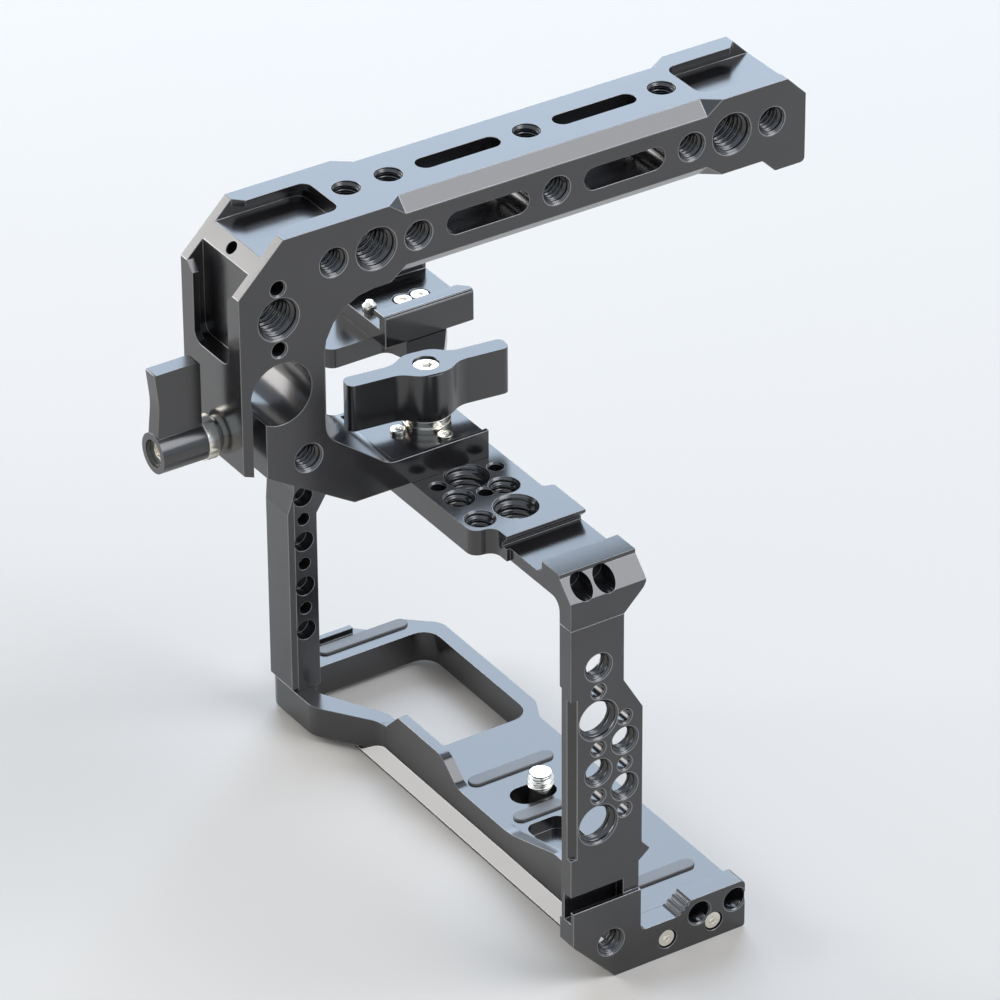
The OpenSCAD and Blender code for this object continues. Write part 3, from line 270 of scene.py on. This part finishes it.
def thread_mesh(name, radius, pitch, length, internal=True):
    """A helical V thread about +Z from 0 to length, closed by a hidden wall.

    The radius is the hole's for an internal thread and the thread's root for an external one.
    """
    mesh = bpy.data.meshes.new(name)
    build = bmesh.new()
    depth = pitch * THREAD_DEPTH_SHARE
    rows = max(ROWS_PER_TURN, int(length / pitch * ROWS_PER_TURN))
    side = -1 if internal else 1
    root = radius - side * ROOT_SUNK_MM * MM
    wall = radius + (WALL_SUNK_MM * MM if internal else -STUD_WALL_SHARE * depth)
    rings = []
    for row in range(rows + 1):
        z = length * row / rows
        ring = []
        for step in range(TURN_STEPS):
            turn = 2 * math.pi * step / TURN_STEPS
            phase = (z / pitch - step / TURN_STEPS) % 1.0
            ridge = min(max(FLANK_SLOPE * (1 - abs(2 * phase - 1)) - ROOT_FLAT, 0.0), 1.0)
            fade = min(1.0, z / (FADE_TURNS * pitch), (length - z) / (FADE_TURNS * pitch))
            r = root + side * depth * ridge * max(fade, 0.0)
            ring.append(build.verts.new((r * math.cos(turn), r * math.sin(turn), z)))
        rings.append(ring)
    for z in (length, 0.0):
        rings.append([
            build.verts.new((wall * math.cos(2 * math.pi * s / TURN_STEPS),
                             wall * math.sin(2 * math.pi * s / TURN_STEPS), z))
            for s in range(TURN_STEPS)
        ])
    rings.append(rings[0])
    for low, high in zip(rings, rings[1:]):
        for step in range(TURN_STEPS):
            after = (step + 1) % TURN_STEPS
            build.faces.new((low[step], low[after], high[after], high[step]))
    bmesh.ops.recalc_face_normals(build, faces=build.faces)
    build.to_mesh(mesh)
    build.free()
    mesh.polygons.foreach_set("use_smooth", [True] * len(mesh.polygons))
    return mesh


def facing(direction):
    """A rotation that turns +Z to a direction."""
    return Vector(direction).to_track_quat("Z", "Y").to_matrix().to_4x4()


def add_piece(name, mesh, at, direction, body, material):
    """Places a mesh drawn about +Z and lets it ride on a body."""
    piece = bpy.data.objects.new(name, mesh)
    scene.collection.objects.link(piece)
    piece.matrix_world = Matrix.Translation(at) @ facing(direction)
    piece.data.materials.append(material)
    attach(piece, body)
    return piece


def add_thread(name, kind, at_mm, direction, length_mm):
    """Lines a hole with its thread, from a mouth inwards along a direction."""
    radius, pitch = THREAD_SIZES[kind]
    mesh = thread_mesh(name, radius * MM, pitch * MM, length_mm * MM)
    add_piece(name, mesh, place(*at_mm), direction, "cage", THREAD)


# Places of the threaded holes in the source's working axes, in millimetres
HOLE_Z, TOP_Z, MID_Y = 168.0, 177.4, 80.575
HOLE_PITCH, SLOT_PITCH = 10.7, 35.4
COLUMN_HOLES = [("large", 9.8, 158.4), ("small", 16.4, 121.8)]
HANDLE_X, MOUTH = 12.0, 0.4
TOP_THREAD_L, MEETING_GAP, TOP_SUNK = 4.0, 0.1, 0.1
BAR_Z, BAR_T = 106.6, 6.4
BAR_HOLES = [("large", 16.3, 54.0), ("large", 32.6, 56.2), ("small", 23.0, 47.7),
             ("small", 32.6, 46.9), ("small", 23.8, 58.9)]
SIDE_IN, SIDE_X, SIDE_Y = 62.0, 65.8, 48.6
OUTER_ROW_Y, INNER_ROW_Y = SIDE_Y + 7.2, SIDE_Y + 14.1
CHEEK_IN, CHEEK_X = 61.3, 66.8
CHEEK_HOLE_Y, CHEEK_HOLE_Z = 58.6, 9.6
ROW_Z, PIN_PITCH, ROW_PITCH = 69.2, 7.5, 6.25
INNER_Z, INNER_PITCH = 55.4, 6.1


def add_handle_threads():
    """Threads of the holes across the beam, of the front column and of the beam's top."""
    reach = HANDLE_X - MOUTH - MEETING_GAP
    far = SLOT_PITCH + 2 * HOLE_PITCH
    across = [("small", MID_Y + shift) for shift in (-far, -SLOT_PITCH, 0, SLOT_PITCH, far)]
    across += [("large", MID_Y + s * (SLOT_PITCH + HOLE_PITCH)) for s in (-1, 1)]
    holes = [(kind, y, HOLE_Z) for kind, y in across]
    for index, (kind, y, z) in enumerate(holes + COLUMN_HOLES):
        for side in (-1, 1):
            add_thread(f"beam_thread_{index}_{'r' if side > 0 else 'l'}", kind,
                       (side * (HANDLE_X - MOUTH), y, z), (-side, 0, 0), reach)
    for index, shift in enumerate((-SLOT_PITCH - HOLE_PITCH, -SLOT_PITCH, 0, SLOT_PITCH)):
        at = (0, MID_Y + shift, TOP_Z - TOP_SUNK)
        add_thread(f"top_thread_{index}", "small", at, (0, 0, -1), TOP_THREAD_L)


def add_frame_threads():
    """Threads of the top bar and of the side plate."""
    low = BAR_Z - BAR_T + MOUTH
    length = BAR_T - 2 * MOUTH
    for index, (kind, x, y) in enumerate(BAR_HOLES):
        add_thread(f"bar_thread_{index}", kind, (x, y, low), (0, 0, 1), length)
    step = PIN_PITCH + ROW_PITCH
    side = [("large", OUTER_ROW_Y, ROW_Z), ("large", OUTER_ROW_Y, ROW_Z - 2 * step),
            ("small", OUTER_ROW_Y, ROW_Z + step), ("small", OUTER_ROW_Y, ROW_Z - step),
            ("small", INNER_ROW_Y, INNER_Z + INNER_PITCH), ("small", INNER_ROW_Y, INNER_Z - INNER_PITCH)]
    for index, (kind, y, z) in enumerate(side):
        add_thread(f"side_thread_{index}", kind, (SIDE_IN, y, z), (1, 0, 0), SIDE_X - SIDE_IN - MOUTH)
    cheek_mouth = (CHEEK_IN + MOUTH, CHEEK_HOLE_Y, CHEEK_HOLE_Z)
    add_thread("cheek_thread", "small", cheek_mouth, (1, 0, 0), CHEEK_X - CHEEK_IN - 2 * MOUTH)


add_handle_threads()
add_frame_threads()

# ---------------------------------------------------------------- camera screw and springs

SCREW_MM = (8.0, 78.5)
STUD_LOW_MM, STUD_HIGH_MM = 10.4, 14.2
STUD_ROOT_MM = SMALL_R_MM - SMALL_PITCH_MM * THREAD_DEPTH_SHARE
# What of the plain stud is drawn in: from just under the thread, and outside the neck's hollow
STUD_UNDER_MM, STUD_CORE_MM = 0.1, 2.4


def add_camera_screw():
    """The camera screw with a real thread: its plain stud drawn in to the root, with a helix on it."""
    node = frame["nodes"]["camera_screw"]
    mesh = node.data.copy()
    mesh.name = "camera_screw_turned"
    axis = place(*SCREW_MM, 0)
    for vertex in mesh.vertices:
        out = Vector((vertex.co.x - axis.x, vertex.co.y - axis.y))
        if vertex.co.z > (STUD_LOW_MM - STUD_UNDER_MM) * MM and out.length > STUD_CORE_MM * MM:
            share = min(STUD_ROOT_MM * MM, out.length) / out.length
            vertex.co.x = axis.x + out.x * share
            vertex.co.y = axis.y + out.y * share
    screw = bpy.data.objects.new("camera_screw_turned", mesh)
    scene.collection.objects.link(screw)
    mesh.materials.clear()
    mesh.materials.append(STEEL)
    soften_edges(screw, EDGE_MM["steel"] * MM, guard=True)
    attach(screw, "camera_screw")
    helix = thread_mesh("camera_screw_thread", STUD_ROOT_MM * MM, SMALL_PITCH_MM * MM,
                        (STUD_HIGH_MM - STUD_LOW_MM) * MM, internal=False)
    add_piece("camera_screw_thread", helix, place(*SCREW_MM, STUD_LOW_MM), (0, 0, 1),
              "camera_screw", STEEL)
    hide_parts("camera_screw")


# The springs' wire, their turns, and the part of a turn that lies flat at each end
WIRE_MM, COIL_TURNS, FLAT_TURNS = 0.2, 3.4, 0.6
WIRE_STEPS, WIRE_SIDES = 28, 10


def coil_mesh(name, radius, wire, height, turns):
    """A closed coil of round wire about +Z from 0 to height, with its end turns lying flat."""
    mesh = bpy.data.meshes.new(name)
    build = bmesh.new()
    steps, sides = int(turns * WIRE_STEPS), WIRE_SIDES
    rings = []
    for step in range(steps + 1):
        share = step / steps
        turn = 2 * math.pi * turns * share
        rise = min(max((share * turns - FLAT_TURNS) / (turns - 2 * FLAT_TURNS), 0.0), 1.0)
        z = wire + (height - 2 * wire) * rise
        ring = []
        for side in range(sides):
            around = 2 * math.pi * side / sides
            out = radius + wire * math.cos(around)
            height_here = z + wire * math.sin(around)
            ring.append(build.verts.new((out * math.cos(turn), out * math.sin(turn), height_here)))
        rings.append(ring)
    for low, high in zip(rings, rings[1:]):
        for side in range(sides):
            after = (side + 1) % sides
            build.faces.new((low[side], low[after], high[after], high[side]))
    build.faces.new(rings[0])
    build.faces.new(rings[-1])
    bmesh.ops.recalc_face_normals(build, faces=build.faces)
    build.to_mesh(mesh)
    build.free()
    mesh.polygons.foreach_set("use_smooth", [True] * len(mesh.polygons))
    return mesh


def add_springs():
    """The two grips' springs, wound where their plain stand-ins are."""
    springs = (("knob_spring", (0, 0, 1), "knob_core"), ("lever_spring", (0, -1, 0), "lever_core"))
    for node, direction, body in springs:
        low, high = (Vector(corner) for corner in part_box(node))
        along = Vector(direction)
        height = abs((high - low).dot(along))
        radius = (high.x - low.x) / 2 - WIRE_MM * MM
        middle = (low + high) / 2 - along * height / 2
        mesh = coil_mesh(f"{node}_coil", radius, WIRE_MM * MM, height, COIL_TURNS)
        coil = add_piece(f"{node}_coil", mesh, middle, direction, body, STEEL)
        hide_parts(node)


add_camera_screw()
add_springs()

# ---------------------------------------------------------------- floor, light and camera

FLOOR_COLOUR, FLOOR_SHADE, FLOOR_ROUGHNESS = (0.86, 0.86, 0.85), 0.985, 0.7
FLOOR_HALF = 6.0
LAMP_TARGET = (0, 0, 0.09)
SKY, SKY_STRENGTH = (0.93, 0.95, 0.97), 1.0
MIRRORED_SKY, MIRRORED_STRENGTH = (0.78, 0.88, 1.0), 1.0
FILL, FILL_STRENGTH = (1.0, 0.94, 0.86), 0.3


def add_floor():
    """A plain pale floor under the cage."""
    mesh = bpy.data.meshes.new("floor")
    half = FLOOR_HALF
    corners = [(-half, -half, 0), (half, -half, 0), (half, half, 0), (-half, half, 0)]
    mesh.from_pydata(corners, [], [(0, 1, 2, 3)])
    floor = bpy.data.objects.new("floor", mesh)
    scene.collection.objects.link(floor)
    material, tree, shader = new_material("floor")
    where = tree.nodes.new("ShaderNodeTexCoord").outputs["Object"]
    soft = add_noise(tree, where, FLOOR_NOISE_SCALE)
    low = tuple(FLOOR_SHADE * c for c in FLOOR_COLOUR)
    tree.links.new(add_colours(tree, soft, low, FLOOR_COLOUR), shader.inputs["Base Color"])
    shader.inputs["Roughness"].default_value = FLOOR_ROUGHNESS
    floor.data.materials.append(material)


def add_background(tree, colour, strength):
    """A plain colour that lights the scene from all around."""
    background = tree.nodes.new("ShaderNodeBackground")
    background.inputs["Color"].default_value = (*colour, 1)
    background.inputs["Strength"].default_value = strength
    return background


def add_world():
    """A pale surround: one sky to the camera, a bluer one in mirrors, and plain warm light elsewhere."""
    world = bpy.data.worlds.new("studio")
    scene.world = world
    world.use_nodes = True
    tree = world.node_tree
    tree.nodes.clear()
    output = tree.nodes.new("ShaderNodeOutputWorld")
    shown = add_background(tree, SKY, SKY_STRENGTH)
    mirrored = add_background(tree, MIRRORED_SKY, MIRRORED_STRENGTH)
    light = add_background(tree, FILL, FILL_STRENGTH)
    path = tree.nodes.new("ShaderNodeLightPath")
    glossy = tree.nodes.new("ShaderNodeMixShader")
    tree.links.new(path.outputs["Is Glossy Ray"], glossy.inputs["Fac"])
    tree.links.new(light.outputs["Background"], glossy.inputs[1])
    tree.links.new(mirrored.outputs["Background"], glossy.inputs[2])
    mix = tree.nodes.new("ShaderNodeMixShader")
    tree.links.new(path.outputs["Is Camera Ray"], mix.inputs["Fac"])
    tree.links.new(glossy.outputs["Shader"], mix.inputs[1])
    tree.links.new(shown.outputs["Background"], mix.inputs[2])
    tree.links.new(mix.outputs["Shader"], output.inputs["Surface"])


def add_lamp(name, at, size, power, colour):
    """A soft panel lamp that looks at the cage's middle."""
    data = bpy.data.lights.new(name, "AREA")
    data.shape = "RECTANGLE"
    data.size, data.size_y = size
    data.energy = power
    data.color = colour
    lamp = bpy.data.objects.new(name, data)
    scene.collection.objects.link(lamp)
    lamp.location = at
    lamp.rotation_mode = "QUATERNION"
    lamp.rotation_quaternion = (Vector(LAMP_TARGET) - Vector(at)).to_track_quat("-Z", "Y")


def add_lamps():
    """Panels where the top faces, the right-hand bevels and the nose mirror them to the camera."""
    add_lamp("behind", (-1.15, 0.75, 0.95), (1.1, 1.1), 14.0, (0.66, 0.81, 1.0))
    add_lamp("above_right", (0.8, 0.7, 1.2), (1.0, 1.0), 11.0, (0.97, 0.97, 1.0))
    add_lamp("front_left", (-1.25, -0.9, 0.5), (1.1, 0.9), 17.0, (1.0, 0.96, 0.92))


# The photograph's view: found from the cage's straight edges, then placed by the rod bore's size
VIEW_AZIMUTH, VIEW_ELEVATION, VIEW_ROLL = 57.2128, 31.8134, -0.3841
VIEW_FOCAL_PX, IMAGE_PX = 6584.6, 1000.0
VIEW_PLACE_MM = (1057.147, -671.125, 862.933)
SENSOR_MM, CLIP_NEAR, CLIP_FAR = 36.0, 0.05, 50


def add_camera():
    """The camera at the photograph's place and angle."""
    azimuth, elevation = math.radians(VIEW_AZIMUTH), math.radians(VIEW_ELEVATION)
    ahead = Vector((-math.sin(azimuth) * math.cos(elevation),
                    math.cos(azimuth) * math.cos(elevation), -math.sin(elevation)))
    right = Vector((math.cos(azimuth), math.sin(azimuth), 0))
    up = right.cross(ahead)
    turn = Matrix.Rotation(math.radians(VIEW_ROLL), 3, "Z")
    basis = Matrix((right, -up, ahead))
    rows = turn @ basis
    rotation = Matrix((rows[0], -rows[1], -rows[2])).transposed()
    data = bpy.data.cameras.new("photo_view")
    data.sensor_width = SENSOR_MM
    data.lens = VIEW_FOCAL_PX / IMAGE_PX * data.sensor_width
    data.clip_start, data.clip_end = CLIP_NEAR, CLIP_FAR
    camera = bpy.data.objects.new("photo_view", data)
    scene.collection.objects.link(camera)
    camera.matrix_world = Matrix.Translation(Vector(VIEW_PLACE_MM) * MM) @ rotation.to_4x4()
    scene.camera = camera


add_floor()
add_world()
add_lamps()
add_camera()
scene.view_settings.view_transform = "Standard"
